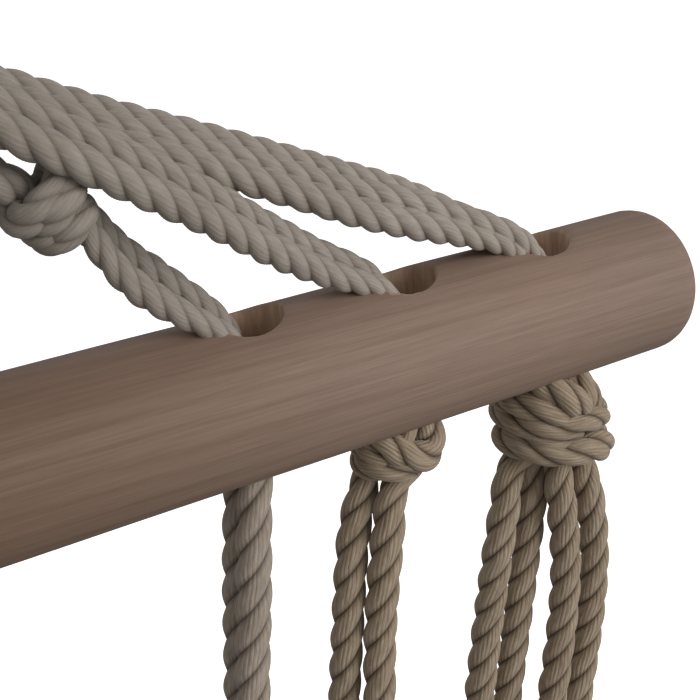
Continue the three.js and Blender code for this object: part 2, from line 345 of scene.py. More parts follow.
def knot_points(frame, rows):
    """Points from rows of [degrees to the right of the front, radius, place along the knot]."""
    centre, axes = frame
    angle, radius, along = np.array(rows, float).T
    angle = np.radians(angle)
    return centre + np.stack([radius * np.sin(angle), radius * np.cos(angle), along], 1) @ axes


# -------- routes

# Each point of a harness route is [distance inward from the outer hole, height above the bar's
# axis, offset along Y, half the distance between the upper and lower ropes], for the middle of
# one hole's ropes on the right-hand side.
ROUTES = {
    "outer": [
        [1.8, 0, 0, 2.8], [2.3, 6, 0, 2.7], [4.4, 13.5, 0, 2.3], [8.4, 20.1, 0, 1.5],
        [22.5, 27.6, 1, 2], [36, 33.9, 2, 3.1], [48.5, 39.3, 3, 3.3], [60, 44.7, 4.2, 3],
        [80, 53.7, 6.5, 2.6], [102, 63, 8, 2.6], [150, 86, 8, 3.4], [230, 134.5, 8, 3.8],
        [310, 188.5, 8, 3.8], [394, 249.5, 8, 3.8], [403, 262, 3, 2.8], [404.4, 264.8, 2.6, 2.6]],
    "middle": [
        [41.2, 0, 0, 0.5], [41.6, 8, 0, 0.5], [43.1, 15, 0, 0.6], [46, 18.9, -0.5, 0.9],
        [52.6, 22.9, -1, 1.4], [59.5, 26.8, -2, 1.6], [70.8, 34.6, -4, 1.8], [85, 45.3, -6.5, 2],
        [104, 58.2, -8.8, 2], [150, 88, -8, 1.5], [230, 140, -8, 0.5], [310, 194, -8, 0],
        [390, 251.5, -8, 0], [401, 262.3, -4.2, 0], [402.5, 264.8, -3.8, 0]],
    "inner": [
        [79.8, 0, 0, 0.5], [80.2, 8, 0, 0.5], [81.8, 14.5, 0, 0.8], [85.2, 19.4, -0.5, 1.3],
        [92.8, 26.4, -1, 2], [101.7, 35.7, -1.5, 2]],
    "inner_above": [
        [129, 61.5, -6.5, 1.5], [150, 78, -8, 1], [230, 130, -8, 0.5], [310, 184.5, -8, 0],
        [397, 246.5, -8, 0], [405, 260, -3, 0], [406, 264.8, -1.5, 0]],
}
# Where each rope lies in its bundle, across and up: first in the hole and then beyond its turn.
OFFSETS = {
    "outer": [((-1, 1), (0, 0.1)), ((1, 1), (1.5, 1)), ((-1, -1), (-1.5, -1)), ((1, -1), (1.45, -1))],
    "middle": [((-1, -1), (-1, -1)), ((1, 1), (1, 1))],
    "inner": [((-1, -1), (-1, -1)), ((1, 1), (1, 1))],
}
HALF_PITCH = 3.75
SETTLED = (12, 42)  # the bundle takes its second order between these distances from the hole
HOLES = ["outer", "middle", "inner"]
SIDES = {"right": 1, "left": -1}


def bundle_rope(route, places):
    """One rope of a bundle: the bundle's middle, moved across and up by the rope's places."""
    middle = np.array([(OUTER_HOLE_X - i, y, BAR_Z + h) for i, h, y, _ in route])
    points = []
    for i, point in enumerate(middle):
        along = middle[min(i + 1, len(middle) - 1)] - middle[max(i - 1, 0)]
        normal = np.array([along[2], 0, -along[0]])
        normal /= np.linalg.norm(normal)
        t = min(max((route[i][0] - route[0][0] - SETTLED[0]) / (SETTLED[1] - SETTLED[0]), 0), 1)
        across, up = np.array(places[0]) * (1 - t) + np.array(places[1]) * t
        points.append(point + (0, across * HALF_PITCH, 0) + normal * up * route[i][3])
    return np.array(points)


UPPER_KNOT = knot_frame((OUTER_HOLE_X - 115, -3.2, BAR_Z + 53), (-0.74, -0.08, 0.67))
UPPER_TURNS = [
    {"angles": (30, -470), "radius": 7.2, "along": (-4, 3)},
    {"angles": (75, -425), "radius": 7.4, "along": (-7, 0)},
]
TURN_STEP = 25
CORE_R = 2  # how far from the knot's middle a rope comes in and goes out
CORE_TURN = 70  # the degrees in which it comes out to its full radius


def coil(angles, radius, along):
    """A knot's rows for one rope that winds evenly out of its core and back into it."""
    first, last = angles
    rows = []
    for angle in np.linspace(first, last, int(abs(last - first) / TURN_STEP) + 1):
        t = min(min(abs(angle - first), abs(last - angle)) / CORE_TURN, 1)
        share = (angle - first) / (last - first)
        r = CORE_R + (radius - CORE_R) * t * t * (3 - 2 * t)
        rows.append((angle, r, along[0] + (along[1] - along[0]) * share))
    return rows


def harness_line(hole, number):
    places = OFFSETS[hole][number]
    if hole != "inner":
        return catmull(bundle_rope(ROUTES[hole], places))
    below = bundle_rope(ROUTES["inner"], places)
    above = bundle_rope(ROUTES["inner_above"], places)
    return catmull(np.vstack([below, knot_points(UPPER_KNOT, coil(**UPPER_TURNS[number])), above]), 10)


# The seat: each sling is one U, drawn flat and then bent fore or aft by its fan, in degrees. Its
# leg is beside the middle of its hole by start where it begins and by shift further down, and
# behind it by y. The U's depth is scaled, and neck is the rope's place in a hole above a knot.
SLING_KEYS = ["hole", "start", "shift", "y", "fan", "depth", "neck"]
SLING_ROWS = [
    ("inner", -9.2, -8.3, -4.3, -25, 0.97, None),
    ("middle", -9.3, -11.1, -3, -18, 1, (-2.5, -2.5)),
    ("outer", 11.6, 17.2, -3, -11, 1.02, (3.4, 3.4)),
    ("outer", 3, 6.3, -3.8, -4.5, 1.03, (3.4, -3.4)),
    ("outer", -0.3, -3.3, 4, 3.5, 1.03, (-3.4, -3.4)),
    ("outer", -9, -14.5, 3, 10, 1.01, (-3.4, 3.4)),
    ("middle", -14.8, -17.9, 3, 18, 0.98, (2.5, 2.5)),
    ("inner", -9.2, -8.3, 4.3, 26.5, 0.94, None),
]
SLINGS = [dict(zip(SLING_KEYS, row)) for row in SLING_ROWS]
# A knot's ropes in the slings' order, each as rows of [degrees to the right of the front, radius,
# height from the bar's axis, share of its width that the rope keeps].
KNOTS = {
    "outer": {"centre": 2.8, "leave": -45, "ropes": [
        [(62, 3.5, -13, 0.85), (52, 6.2, -16, 0.85), (48, 9, -18.5, 0.85), (53, 10.6, -21.5, 0.9),
         (57, 11, -24.8, 0.9), (55, 9.5, -28, 0.8), (75, 7, -33, 0.8), (70, 8, -39, 0.85)],
        [(-45, 7.5, -12.5, 0.9), (-20, 10.6, -16, 0.9), (0, 11.6, -18.6, 0.95),
         (16, 11.7, -21.2, 0.95), (31, 11, -24.2, 0.9), (52, 7, -27.5, 0.75), (120, 4, -29.5, 0.75),
         (200, 5, -30.5, 0.75), (255, 8, -31.6, 0.75), (283, 10, -32.2, 0.75),
         (314, 11.2, -31.4, 0.75), (341, 11.6, -31.9, 0.75), (361, 11.5, -32, 0.75),
         (378, 10.8, -31.2, 0.75), (398, 8, -33, 0.75), (410, 5.5, -38, 0.8)],
        [(-125, 7, -14, 0.8), (-108, 10.5, -19, 0.8), (-88, 12, -22.6, 0.85), (-70, 12.1, -23, 0.85),
         (-50, 12, -22.2, 0.95), (-24, 12, -22.6, 0.95), (-3, 12, -23.9, 0.9), (12, 11.4, -25.3, 0.85),
         (32, 8, -27.5, 0.75), (90, 3, -31, 0.75), (190, 2.5, -36, 0.8)],
        [(185, 6.5, -14, 0.8), (160, 10, -20, 0.8), (125, 12, -27, 0.85), (92, 12.8, -31, 0.85),
         (62, 12.8, -29.4, 0.8), (44, 12.7, -28.3, 0.8), (30, 12.6, -27.8, 0.8),
         (11, 12.5, -28.3, 0.8), (-13, 12.4, -28.2, 0.8), (-37, 12.3, -28.2, 0.8),
         (-66, 12.2, -28, 0.8), (-95, 12.2, -28.2, 0.85), (-140, 12, -30, 0.8), (-185, 12, -33, 0.8),
         (-225, 12.4, -36.8, 0.9), (-262, 13, -39.4, 1), (-293, 13.1, -38.2, 1),
         (-315, 13, -36.8, 0.92), (-334, 12.8, -36, 0.85), (-352, 12.7, -36, 0.8),
         (-374, 12.5, -35.4, 0.8), (-397, 12.4, -34.9, 0.8), (-420, 12.3, -35, 0.82),
         (-453, 12, -35.8, 0.85), (-495, 10, -37.5, 0.8), (-530, 7, -40, 0.85)],
    ]},
    "middle": {"centre": -5.2, "leave": -34.5, "ropes": [
        [(30, 5, -14, 0.8), (18, 6.8, -18, 0.8), (0, 5, -20.5, 0.75), (-60, 2.5, -21.5, 0.7),
         (-150, 5.2, -22, 0.7), (-115, 7.6, -22.4, 0.75), (-92, 8, -22.6, 0.8), (-60, 8, -22.2, 0.8),
         (-28, 7.8, -23, 0.8), (-5, 5.8, -24.2, 0.72), (60, 3.4, -24.8, 0.7), (150, 6.6, -25.2, 0.7),
         (205, 7.6, -26.4, 0.75), (266, 8.1, -27.2, 0.82), (300, 8.2, -26.8, 0.84),
         (330, 8.2, -26.2, 0.84), (360, 8, -26.2, 0.82), (385, 7, -26.6, 0.8), (410, 4.4, -28.6, 0.8)],
        [(100, 3.8, -13, 0.82), (96, 6.2, -16.5, 0.85), (90, 8, -19.6, 0.92), (80, 8.7, -22.8, 0.96),
         (60, 8.7, -25, 0.94), (29, 8.3, -24.4, 0.9), (6, 7.9, -21.8, 0.9), (-12, 7.9, -19.4, 0.86),
         (-33, 7.8, -18.4, 0.82), (-70, 7.6, -17.8, 0.78), (-120, 6.6, -19.6, 0.75),
         (-165, 4.3, -22.8, 0.72), (-130, 4.8, -27, 0.76), (-100, 7, -30.5, 0.82)],
    ]},
}
LEG_START = 14.5
LEG_LEAN = {"outer": 2, "middle": 6, "inner": 6}  # how far inward a leg leans at the fan's start
# The way of a rope without a knot: [share of start, share of y, height, width it keeps].
KNOTLESS = [
    (0.2, 0.9, 0, KNOT_ROPE), (0.3, 0.9, -12, KNOT_ROPE), (0.6, 1, -24, 0.95),
    (1, 1, -HINGE_DROP - LEG_START, 1)]
NECK_DROP = 9
# The way below a knot: [share of start, height from the knot's end, width it keeps].
BELOW_KNOT = [(0.9, 0, 0.94), (1.15, -10, 1)]
SLING_SPAN = 10  # steps of a sling's curve between two of its points
FAN_DROP = 50  # how far under the hinge a sling starts to bend, over a length of FAN_ARC
FAN_ARC = 130
SIDE_X = {"outer": 345, "middle": 318, "inner": 285}
SIDE_DROP = 380
SEAT_HALF = [(0.93, 450), (0.77, 522), (0.53, 573), (0.27, 600), (0, 608)]
LEG_SHARES = [0.3, 0.65, 1]
SEAT_MIDDLE = np.array((0, 0, SEAT_HINGE - 300))
NET_ROPES = 13
NET_PITCH = 58
NET_TAIL = 12
NET_PRESS = 0.3  # how deep a net rope and a sling press into each other
NET_TURN_POINTS = 15
NET_CLIMB = 0.54  # how far a net rope goes along a sling in half a turn, as a share of its width


def hole_x(hole):
    return OUTER_HOLE_X - HOLE_PITCH * HOLES.index(hole)


def bend(x, drop, sling):
    angle = math.radians(sling["fan"])
    radius = FAN_ARC / abs(angle)
    turned = min(max((drop - FAN_DROP) / FAN_ARC, 0), 1) * abs(angle)
    beyond = max(drop - FAN_DROP - FAN_ARC, 0)
    out = radius * (1 - math.cos(turned)) + beyond * math.sin(abs(angle))
    down = min(drop, FAN_DROP) + radius * math.sin(turned) + beyond * math.cos(angle)
    t = min(max((drop - FAN_DROP) / (SIDE_DROP - FAN_DROP), 0), 1)
    inset = sling["y"] * (1 - t * t * (3 - 2 * t))
    return [x, inset + math.copysign(out, sling["fan"]), SEAT_HINGE - down]


def sling_points(sling):
    """The right half's points of a sling, from below its knot to the seat's middle."""
    side = SIDE_X[sling["hole"]]
    low = hole_x(sling["hole"]) + sling["shift"] - LEG_LEAN[sling["hole"]]
    leg = SIDE_DROP - FAN_DROP
    half = [(low, FAN_DROP)]
    half += [(low + (side - low) * t, FAN_DROP + leg * t) for t in LEG_SHARES]
    half += [(share * side, drop) for share, drop in SEAT_HALF]
    scaled = [(x, d * sling["depth"] if d > FAN_DROP else d) for x, d in half]
    return np.array([bend(x, d, sling) for x, d in scaled])


def mirrored(right):
    """A sling's right half and its left one, which share the last point."""
    return np.vstack([right, (right[:-1] * (-1, 1, 1))[::-1]])


def above_the_leg(number):
    """A sling's points from inside its hole, through its knot if it has one, and its widths."""
    sling = SLINGS[number]
    hole = sling["hole"]
    x, y, start = hole_x(hole), sling["y"], sling["start"]
    if hole not in KNOTS:
        points = [(x + share * start, inset * y, BAR_Z + height) for share, inset, height, _ in KNOTLESS]
        return np.array(points), np.array([keep for *_, keep in KNOTLESS])
    knot = KNOTS[hole]
    place = [i for i, s in enumerate(SLINGS) if s["hole"] == hole].index(number)
    rows = np.array(knot["ropes"][place], float)
    wind = knot_points(knot_frame((x + knot["centre"], 0, BAR_Z), (0, 0, 1)), rows[:, :3])
    nx, ny = sling["neck"]
    neck = [(x + nx, ny, BAR_Z), (x + nx, ny, BAR_Z - NECK_DROP)]
    out = [(x + share * start, y, BAR_Z + knot["leave"] + height) for share, height, _ in BELOW_KNOT]
    widths = [[KNOT_ROPE] * len(neck), rows[:, 3], [keep for *_, keep in BELOW_KNOT]]
    return np.vstack([neck, wind, out]), np.concatenate(widths)


def sling_line(number):
    """A sling from inside its right-hand hole, through its knot, under the seat and up again, and
    how its width changes along it."""
    above, widths = above_the_leg(number)
    whole = mirrored(np.vstack([above, sling_points(SLINGS[number])]))
    rough = catmull(whole, SLING_SPAN)
    s = lengths_along(rough)
    marks = s[SLING_SPAN * np.arange(len(widths))]
    slim = np.interp(s, marks, widths)
    return smoothed(evened(rough, 1.0), 3), (s, np.minimum(slim, slim[::-1]))


# -------- materials


class Shader:
    """A material's node tree, with short calls for making and joining nodes."""

    def __init__(self, name):
        self.material = bpy.data.materials.new(name)
        self.material.use_nodes = True
        self.tree = self.material.node_tree
        self.surface = self.tree.nodes["Principled BSDF"]

    def node(self, kind, inputs=(), **settings):
        made = self.tree.nodes.new(kind)
        for key, value in settings.items():
            setattr(made, key, value)
        self.feed(made, dict(inputs))
        return made

    def feed(self, node, inputs):
        """Sets a node's inputs, by name or number, to values or to other nodes' outputs."""
        for key, value in inputs.items():
            if isinstance(value, bpy.types.NodeSocket):
                self.tree.links.new(value, node.inputs[key])
            else:
                node.inputs[key].default_value = value

    def noise(self, vector, scale, detail=4.0, rough=0.55):
        inputs = {"Vector": vector, "Scale": scale, "Detail": detail, "Roughness": rough}
        return self.node("ShaderNodeTexNoise", inputs).outputs["Fac"]

    def mapped(self, vector, scale, location=(0, 0, 0)):
        inputs = {"Vector": vector, "Scale": scale, "Location": location}
        return self.node("ShaderNodeMapping", inputs).outputs["Vector"]

    def ramp(self, value, stops):
        """Colours or greys by a value, from pairs of [place, colour or grey]."""
        made = self.node("ShaderNodeValToRGB", {"Fac": value})
        ramp = made.color_ramp
        while len(ramp.elements) < len(stops):
            ramp.elements.new(0.5)
        for element, (place, colour) in zip(ramp.elements, stops):
            element.position = place
            element.color = (*colour, 1) if isinstance(colour, tuple) else (colour, colour, colour, 1)
        return made.outputs["Color"]

    def math(self, operation, a, b=0.0):
        return self.node("ShaderNodeMath", {0: a, 1: b}, operation=operation).outputs[0]

    def mix(self, factor, a, b, blend="MIX"):
        made = self.node("ShaderNodeMix", data_type="RGBA", blend_type=blend)
        a, b = ((*colour, 1) if isinstance(colour, tuple) else colour for colour in (a, b))
        self.feed(made, {0: factor, 6: a, 7: b})
        return made.outputs[2]

    def bump(self, height, strength, distance):
        inputs = {"Height": height, "Strength": strength, "Distance": distance}
        return self.node("ShaderNodeBump", inputs).outputs["Normal"]

    def off_middle(self, place):
        """Twice the distance from the hammock's middle plane, in metres."""
        x = self.node("ShaderNodeSeparateXYZ", {"Vector": place}).outputs["X"]
        return self.math("MULTIPLY", self.math("ABSOLUTE", x), 2.0)


def rope_material(name, lay, base, shade, groove_shade, yarn_depth, groove_share=0.85, middle_shade=1.0):
    """Laid cotton: fine yarns along the rope, with painted shade between the yarns and darker, warmer
    painted shade deep in the grooves between the strands. Painted shade also darkens it towards the
    middle of the hammock, by the given factor."""
    s = Shader(name)
    uv = s.node("ShaderNodeUVMap", uv_map=UV_NAME).outputs["UV"]
    place = s.node("ShaderNodeTexCoord").outputs["Object"]
    split = s.node("ShaderNodeSeparateXYZ", {"Vector": uv})
    across, along = split.outputs["X"], split.outputs["Y"]
    turns = YARN_TURNS * math.pi * UV_LENGTH / lay / HALF_ARC
    slanted = s.math("MULTIPLY", s.math("ADD", across, s.math("MULTIPLY", along, turns)), YARNS)
    yarn = s.math("ABSOLUTE", s.math("SINE", s.math("MULTIPLY", slanted, math.pi)))
    stretched = s.math("MULTIPLY", along, 9.0)
    yarn_uv = s.node("ShaderNodeCombineXYZ", {"X": slanted, "Y": stretched}).outputs[0]
    threads = s.noise(yarn_uv, 1.7, 5.0, 0.65)
    fibres = s.noise(s.mapped(yarn_uv, (5.0, 1.2, 1.0)), 2.4, 4.0, 0.7)
    fluff = s.noise(place, 1500.0, 3.0, 0.7)
    blotch = s.noise(place, 70.0, 3.0)
    middle = s.math("ABSOLUTE", s.math("SUBTRACT", across, 0.5))
    deep = s.ramp(middle, [(0.3, 0), (0.43, 0.45), (0.5, 1)])
    tone = s.mix(s.ramp(threads, [(0.3, 0), (0.62, 1)]), shade, base)
    # Painted shade between the yarns.
    tone = s.mix(s.math("MULTIPLY", s.ramp(yarn, [(0.0, 1), (0.4, 0)]), yarn_depth), tone, shade)
    # Painted shade, darker and warmer, deep in the grooves between the strands.
    tone = s.mix(s.math("MULTIPLY", deep, groove_share), tone, groove_shade)
    worn = s.ramp(fibres, [(0.25, (0.74, 0.71, 0.66)), (0.75, 1.05)])
    tone = s.mix(0.4, tone, worn, "MULTIPLY")
    worn = s.ramp(blotch, [(0.3, (0.78, 0.75, 0.71)), (0.7, 1.06)])
    tone = s.mix(0.4, tone, worn, "MULTIPLY")
    # Painted shade: the rope is darker towards the hammock's middle, by the given factor.
    tone = s.mix(1.0, tone, s.ramp(s.off_middle(place), [(0.54, middle_shade), (0.76, 1)]), "MULTIPLY")
    height = s.math("ADD", s.math("MULTIPLY", yarn, yarn_depth), s.math("MULTIPLY", fibres, 0.35))
    height = s.math("ADD", height, s.math("MULTIPLY", fluff, 0.25))
    s.feed(s.surface, {
        "Base Color": tone, "Normal": s.bump(height, 0.6, 0.0005), "Roughness": 0.95,
        "Specular IOR Level": 0.2, "Sheen Weight": 0.15})
    return s.material


# A rope's colour, its painted shade between the yarns and its painted shade deep between the strands.
ROPE = rope_material(
    "harness_look", HARNESS_LAY, (0.475, 0.428, 0.38), (0.35, 0.303, 0.255), (0.17, 0.133, 0.102),
    yarn_depth=0.16, groove_share=0.6, middle_shade=0.76)
# The slings' painted shade between the yarns and in the grooves is much darker than the harness rope's.
LOWER_ROPE = rope_material(
    "sling_look", SLING_LAY, (0.49, 0.402, 0.302), (0.25, 0.182, 0.115), (0.06, 0.036, 0.017),
    yarn_depth=0.5, groove_share=0.95)
NET_ROPE = rope_material(
    "net_look", NET_LAY, (0.48, 0.41, 0.325), (0.28, 0.215, 0.145), (0.11, 0.075, 0.045), yarn_depth=0.4)
EDGE_ROPE = rope_material(
    "edge_sling_look", SLING_LAY, (0.49, 0.425, 0.355), (0.3, 0.24, 0.185), (0.1, 0.072, 0.05),
    yarn_depth=0.4, groove_share=0.9)
TWINE = rope_material(
    "binding_look", TWINE_LAY, (0.5, 0.44, 0.36), (0.3, 0.24, 0.18), (0.14, 0.1, 0.06), yarn_depth=0.4)

PITH_Y, PITH_Z = -0.031, -0.462  # the tree's middle lay below the bar and in front of it, in metres


def wood_material():
    """Sanded bare wood: fine fibres along the bar, soft growth bands, paler rough drilled holes,
    and painted shade that darkens the bar towards its middle and a little at its very ends.
    """
    s = Shader("bar_wood_look")
    place = s.node("ShaderNodeTexCoord").outputs["Object"]
    wobble = s.noise(s.mapped(place, (5, 26, 26)), 1.0, 3.0, 0.5)
    split = s.node("ShaderNodeSeparateXYZ", {"Vector": place})
    y = s.math("SUBTRACT", split.outputs["Y"], PITH_Y)
    z = s.math("SUBTRACT", split.outputs["Z"], PITH_Z)
    z = s.math("ADD", z, s.math("MULTIPLY", split.outputs["X"], 0.035))
    from_pith = s.math("SQRT", s.math("ADD", s.math("MULTIPLY", y, y), s.math("MULTIPLY", z, z)))
    rings = s.math("ADD", s.math("MULTIPLY", from_pith, 1500.0), s.math("MULTIPLY", wobble, 11.0))
    bands = s.math("SINE", rings)
    fibres = s.noise(s.mapped(place, (16, 620, 620)), 1.0, 5.0, 0.6)
    fine = s.noise(s.mapped(place, (60, 2100, 2100)), 1.0, 3.0, 0.6)
    streaks = s.noise(s.mapped(place, (3.2, 70, 70), (4, 0, 0)), 1.0, 4.0, 0.55)
    blotch = s.noise(s.mapped(place, (9, 30, 30), (0, 7, 0)), 1.0, 3.0, 0.5)
    light, mid, dark = (0.34, 0.25, 0.198), (0.3, 0.218, 0.17), (0.215, 0.15, 0.112)
    tone = s.mix(s.ramp(streaks, [(0.3, 0), (0.7, 1)]), mid, light)
    tone = s.mix(s.math("MULTIPLY", s.ramp(bands, [(0.3, 0), (1.0, 1)]), 0.26), tone, dark)
    tone = s.mix(s.math("MULTIPLY", s.ramp(fibres, [(0.5, 0), (0.8, 1)]), 0.45), tone, dark)
    pores = s.ramp(fine, [(0.25, (0.76, 0.74, 0.72)), (0.75, 1.1)])
    tone = s.mix(0.75, tone, pores, "MULTIPLY")
    stain = (0.31, 0.195, 0.145)
    tone = s.mix(s.math("MULTIPLY", s.ramp(blotch, [(0.5, 0), (0.8, 1)]), 0.3), tone, stain)
    # Painted light falloff: the bar is darker towards its middle and a little darker at its very ends.
    painted_light_falloff = s.ramp(s.off_middle(place), [
        (0.54, (0.66, 0.585, 0.52)), (0.7, (0.91, 0.875, 0.85)),
        (0.8, (0.94, 0.915, 0.895)), (0.9, (0.87, 0.86, 0.85))])
    tone = s.mix(1.0, tone, painted_light_falloff, "MULTIPLY")
    inside = s.node("ShaderNodeAttribute", attribute_name="inside").outputs["Fac"]
    torn = s.node("ShaderNodeAttribute", attribute_name="torn").outputs["Fac"]
    end_grain = s.noise(s.mapped(place, (420, 420, 60)), 1.0, 4.0, 0.6)
    drilled = s.ramp(end_grain, [(0.3, (0.4, 0.26, 0.17)), (0.75, (0.72, 0.51, 0.365))])
    tone = s.mix(inside, tone, drilled)
    tone = s.mix(s.math("MULTIPLY", torn, 0.75), tone, (0.52, 0.38, 0.27))
    height = s.math("ADD", s.math("MULTIPLY", fibres, 0.6), s.math("MULTIPLY", fine, 0.4))
    s.feed(s.surface, {
        "Base Color": tone, "Normal": s.bump(height, 0.35, 0.0004),
        "Roughness": s.ramp(fibres, [(0.3, 0.62), (0.8, 0.8)]), "Specular IOR Level": 0.3})
    return s.material


def steel_material():
    """Zinc-plated steel wire: a soft mottled sheen with fine drawn lines round the wire."""
    s = Shader("ring_steel_look")
    place = s.node("ShaderNodeTexCoord").outputs["Object"]
    mottle = s.noise(place, 240.0, 4.0, 0.6)
    scuffs = s.noise(s.mapped(place, (900, 200, 900)), 1.0, 4.0, 0.65)
    zinc = s.ramp(mottle, [(0.3, (0.5, 0.51, 0.53)), (0.7, (0.68, 0.69, 0.7))])
    s.feed(s.surface, {
        "Base Color": zinc, "Roughness": s.ramp(scuffs, [(0.3, 0.22), (0.75, 0.46)]),
        "Normal": s.bump(scuffs, 0.12, 0.0002), "Metallic": 1.0})
    return s.material


WOOD = wood_material()
STEEL = steel_material()

# -------- ropes


def dressed(piece, material):
    piece.data.materials.append(material)
    return piece


# Places along a harness rope from inside its hole, and the share of its width that it keeps there.
SQUEEZED_IN_HOLE = (0, 20, 46), (0.72, 0.76, 1)
SQUEEZED_IN_KNOT = (38, 47, 104, 113), (1, KNOT_ROPE, KNOT_ROPE, 1)
SQUEEZED_IN_BINDING = (3, 16), (0.72, 1)  # counted from its other end
# A rope's twist starts at its number times its kind's phase, and its number is added to a seed.
PHASES = {"harness": 1.3, "sling": 0.9, "net": 1.1, "eye": 0.7}
SEEDS = {"right": 0, "left": 10, "sling": 30, "net": 60, "eye": 80, "binding": 95}


def harness_ropes(side):
    number = 1
    for hole in HOLES:
        for place in range(len(OFFSETS[hole])):
            line = smoothed(evened(harness_line(hole, place), 1.0), 4) * (SIDES[side], 1, 1)
            s = lengths_along(line)
            keep = np.interp(s, *SQUEEZED_IN_HOLE) * np.interp(s[-1] - s, *SQUEEZED_IN_BINDING)
            stands_for = [f"harness_rope_{side}_{number}"]
            if hole == "inner":
                keep = keep * np.interp(s, *SQUEEZED_IN_KNOT)
                if place == 0:
                    stands_for.append(f"harness_knot_{side}")
            name, seed = f"rope_{side}_{number}", number + SEEDS[side]
            phase = PHASES["harness"] * number
            piece = rope(name, line, HARNESS_D, HARNESS_LAY, phase, slim=(s, keep), seed=seed)
            dressed(piece, ROPE)
            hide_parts(*stands_for)
            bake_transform(piece)
            number += 1


for side in SIDES:
    harness_ropes(side)

# The solids at the bar that each sling stands for besides its own.
BAR_ROPES = [
    ["bar_ropes_right_inner"], ["stopper_knot_right_middle"], ["stopper_knot_right_outer"], [],
    [], ["stopper_knot_left_outer"], ["stopper_knot_left_middle"], ["bar_ropes_left_inner"]]

for number, sling in enumerate(SLINGS):
    line, slim = sling_line(number)
    name, seed, phase = f"sling_{number + 1}", SEEDS["sling"] + number, PHASES["sling"] * number
    piece = rope(name, line, ROPE_D, SLING_LAY, phase, slim=slim, seed=seed)
    dressed(piece, EDGE_ROPE if sling["hole"] == "inner" else LOWER_ROPE)
    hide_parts(f"sling_rope_{number + 1}", *BAR_ROPES[number])
    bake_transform(piece)

# -------- seat net


def sling_curves():
    """Each sling's hanging part, as the net's ropes cross it."""
    return [evened(catmull(mirrored(sling_points(sling))), 1.0) for sling in SLINGS]


def net_rope_line(curves, along):
    """A net rope's way over all the slings, with one full turn round each of them."""
    reach = (ROPE_D + NET_ROPE_D) / 2 - NET_PRESS
    points = []
    crossings = []
    for curve in curves:
        s = lengths_along(curve)
        at = s[-1] / 2 - along
        place = at_lengths(curve, [at])[0]
        tangent = at_lengths(curve, [at + 3])[0] - at_lengths(curve, [at - 3])[0]
        crossings.append((place, tangent / np.linalg.norm(tangent)))
    places = np.array([c[0] for c in crossings])
    for k, (place, tangent) in enumerate(crossings):
        across = places[min(k + 1, len(places) - 1)] - places[max(k - 1, 0)]
        across -= tangent * (across @ tangent)
        across /= np.linalg.norm(across)
        out = np.cross(tangent, across)
        if out @ (place - SEAT_MIDDLE) < 0:
            out = -out
        for angle in np.linspace(0, 2 * math.pi, NET_TURN_POINTS):
            turn = out * math.cos(angle) + across * math.sin(angle)
            climb = tangent * NET_ROPE_D * NET_CLIMB * (angle / math.pi - 1)
            points.append(place + reach * turn + climb)
        if k == 0:
            points.insert(0, points[0] - across * NET_TAIL + out)
    points.append(points[-1] + across * NET_TAIL + out)
    return catmull(np.array(points), 6)


curves = sling_curves()
for j in range(NET_ROPES):
    line = net_rope_line(curves, (j - (NET_ROPES - 1) / 2) * NET_PITCH)
    name, seed, phase = f"net_{j + 1}", SEEDS["net"] + j, PHASES["net"] * j
    piece = rope(name, line, NET_ROPE_D, NET_LAY, phase, fine=False, seed=seed)
    dressed(piece, NET_ROPE)
    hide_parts(f"net_rope_{j + 1}")
    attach(piece, "seat")

# -------- ring, eye and binding


WELD_PROUD = 0.35
WELD_HALF = 2.6
WELD_TURN = math.pi / 2  # from the ring's top


def torus(name, radius, wire, centre_z, around=180, across=32):
    """A welded wire ring in the XZ plane, a little thicker at its weld."""
    vertices = []
    for i in range(around):
        a = 2 * math.pi * i / around
        from_weld = (a - WELD_TURN + math.pi) % (2 * math.pi) - math.pi
        thick = wire + WELD_PROUD * math.exp(-((from_weld * radius / WELD_HALF) ** 2))
        for j in range(across):
            b = 2 * math.pi * j / across
            r = radius + thick * math.cos(b)
            vertices.append((r * math.sin(a), thick * math.sin(b), centre_z + r * math.cos(a)))
    faces = []
    for i in range(around):
        k = (i + 1) % around
        for j in range(across):
            m = (j + 1) % across
            faces.append((i * across + j, i * across + m, k * across + m, k * across + j))
    return mesh_object(name, vertices, faces)


ring = torus("ring", RING_R, RING_WIRE_R, RING_BOTTOM + RING_R)
dressed(ring, STEEL)
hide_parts("hanging_ring")
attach(ring, "ring")

EYE_COLUMNS = [-11.4, -3.8, 3.8, 11.4]
# Each layer's radius round the wire, and its feet in the binding: Y, inner X and outer X.
EYE_LAYERS = [(8.2, 3.9, 3.3, 3.4), (15.2, 10.9, 3.0, 9.3)]
EYE_CLEAR = 0.9  # the outer bights stand off the wire, where the ring curves away from them
EYE_FOOT = 8  # how far inside the binding's ends a foot begins and starts to spread


def bight_line(column, layer):
    """One rope's way up out of the binding, over the ring's wire and down again."""
    radius, foot_y, inner_x, outer_x = layer
    lift = RING_R - math.sqrt(RING_R ** 2 - column ** 2)
    middle = RING_BOTTOM + lift
    outermost = abs(column) == max(EYE_COLUMNS)
    radius += EYE_CLEAR if outermost else 0
    foot_x = math.copysign(outer_x if outermost else inner_x, column)
    foot = [(foot_x, foot_y, BINDING_BOTTOM + EYE_FOOT), (foot_x, foot_y, BINDING_TOP - EYE_FOOT),
            (0.9 * foot_x + 0.1 * column, foot_y, BINDING_TOP + 1)]
    arc = []
    for degrees in range(-20, 201, 20):
        a = math.radians(degrees)
        arc.append((column, radius * math.cos(a), middle + radius * math.sin(a)))
    other = [(x, -y, z) for x, y, z in reversed(foot)]
    return catmull(np.array(foot + arc + other), 12)


